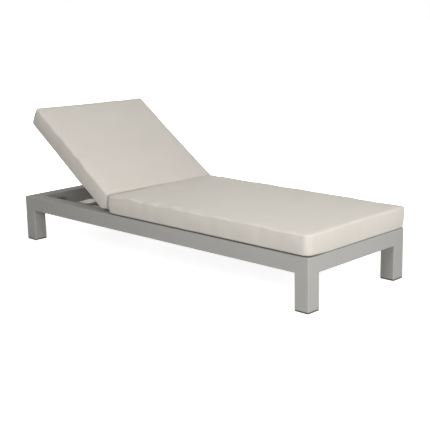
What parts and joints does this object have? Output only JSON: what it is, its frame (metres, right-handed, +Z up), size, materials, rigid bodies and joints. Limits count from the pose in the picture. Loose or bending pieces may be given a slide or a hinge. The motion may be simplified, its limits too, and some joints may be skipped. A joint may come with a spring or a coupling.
{
  "type": "adjustable lounger",
  "caption": "Low box-frame lounger with a slatted deck, two thick pads, and a hinged back held up by a folding stay that drops into notched racks.",
  "frame": {"origin": "on the floor, under the middle of the frame's footprint", "axes": "+X along the lounger from its head end to its foot end, +Y across it to the left of a person lying on it, +Z up"},
  "size_m": [2, 0.71, 0.7287],
  "materials": {
    "frame_paint": "warm grey textured powder coat, satin",
    "inner_paint": "warm grey powder coat, satin",
    "deck_paint": "warm grey powder coat on extruded slats",
    "hardware_paint": "warm grey powder coat on steel",
    "bolt_steel": "plain stainless steel",
    "bush_nylon": "black nylon",
    "foot_plastic": "dark grey moulded plastic",
    "pad_fabric": "warm off-white woven outdoor fabric",
    "strap_webbing": "soft off-white tape"
  },
  "bodies": {
    "root": {"head_rail": "frame_paint", "foot_rail": "frame_paint", "side_rail_left": "frame_paint", "side_rail_right": "frame_paint", "leg_head_left": "frame_paint", "leg_head_right": "frame_paint", "leg_foot_left": "frame_paint", "leg_foot_right": "frame_paint", "foot_cap_head_left": "foot_plastic", "foot_cap_head_right": "foot_plastic", "foot_cap_foot_left": "foot_plastic", "foot_cap_foot_right": "foot_plastic", "deck_ledge_left": "deck_paint", "deck_ledge_right": "deck_paint", "seat_slat_1": "deck_paint", "seat_slat_2": "deck_paint", "seat_slat_3": "deck_paint", "seat_slat_4": "deck_paint", "seat_slat_5": "deck_paint", "seat_slat_6": "deck_paint", "seat_slat_7": "deck_paint", "seat_slat_8": "deck_paint", "seat_slat_9": "deck_paint", "seat_slat_10": "deck_paint", "deck_spine": "deck_paint", "head_tray": "inner_paint", "rack_brace_head": "inner_paint", "rack_brace_seat": "inner_paint", "seat_brace_head": "inner_paint", "seat_brace_foot": "inner_paint", "hinge_plate_left": "hardware_paint", "hinge_plate_right": "hardware_paint", "hinge_bolts": "bolt_steel", "hinge_washers": "bush_nylon", "back_stops": "hardware_paint", "rack_left": "hardware_paint", "rack_right": "hardware_paint", "seat_pad": "pad_fabric"},
    "backrest": {"back_side_tube_left": "frame_paint", "back_side_tube_right": "frame_paint", "back_top_tube": "frame_paint", "back_bottom_tube": "frame_paint", "back_slat_1": "deck_paint", "back_slat_2": "deck_paint", "back_slat_3": "deck_paint", "back_slat_4": "deck_paint", "back_slat_5": "deck_paint", "hinge_bushes": "bush_nylon", "stay_lug_left": "hardware_paint", "stay_lug_right": "hardware_paint", "stay_bolts": "bolt_steel", "back_pad": "pad_fabric", "pad_strap_left": "strap_webbing", "pad_strap_right": "strap_webbing"},
    "stay": {"stay_arm_left": "hardware_paint", "stay_arm_right": "hardware_paint", "stay_rod": "hardware_paint", "stay_brace": "hardware_paint", "rod_sleeves": "bush_nylon"}
  },
  "joints": [
    {"name": "back_hinge", "type": "hinge", "parent": "root", "child": "backrest", "pos_m": [-0.32, 0, 0.235], "axis": [0, 1, 0], "range_deg": [-36.5, 18.5]},
    {"name": "stay_hinge", "type": "hinge", "parent": "backrest", "child": "stay", "pos_m": [-0.49107, 0, 0.3591], "axis": [0, 1, 0], "range_deg": [-37.5, 73.5]}
  ],
  "couplings": [
    {"joint": "stay_hinge", "follows": "back_hinge", "ratio": -2}
  ]
}
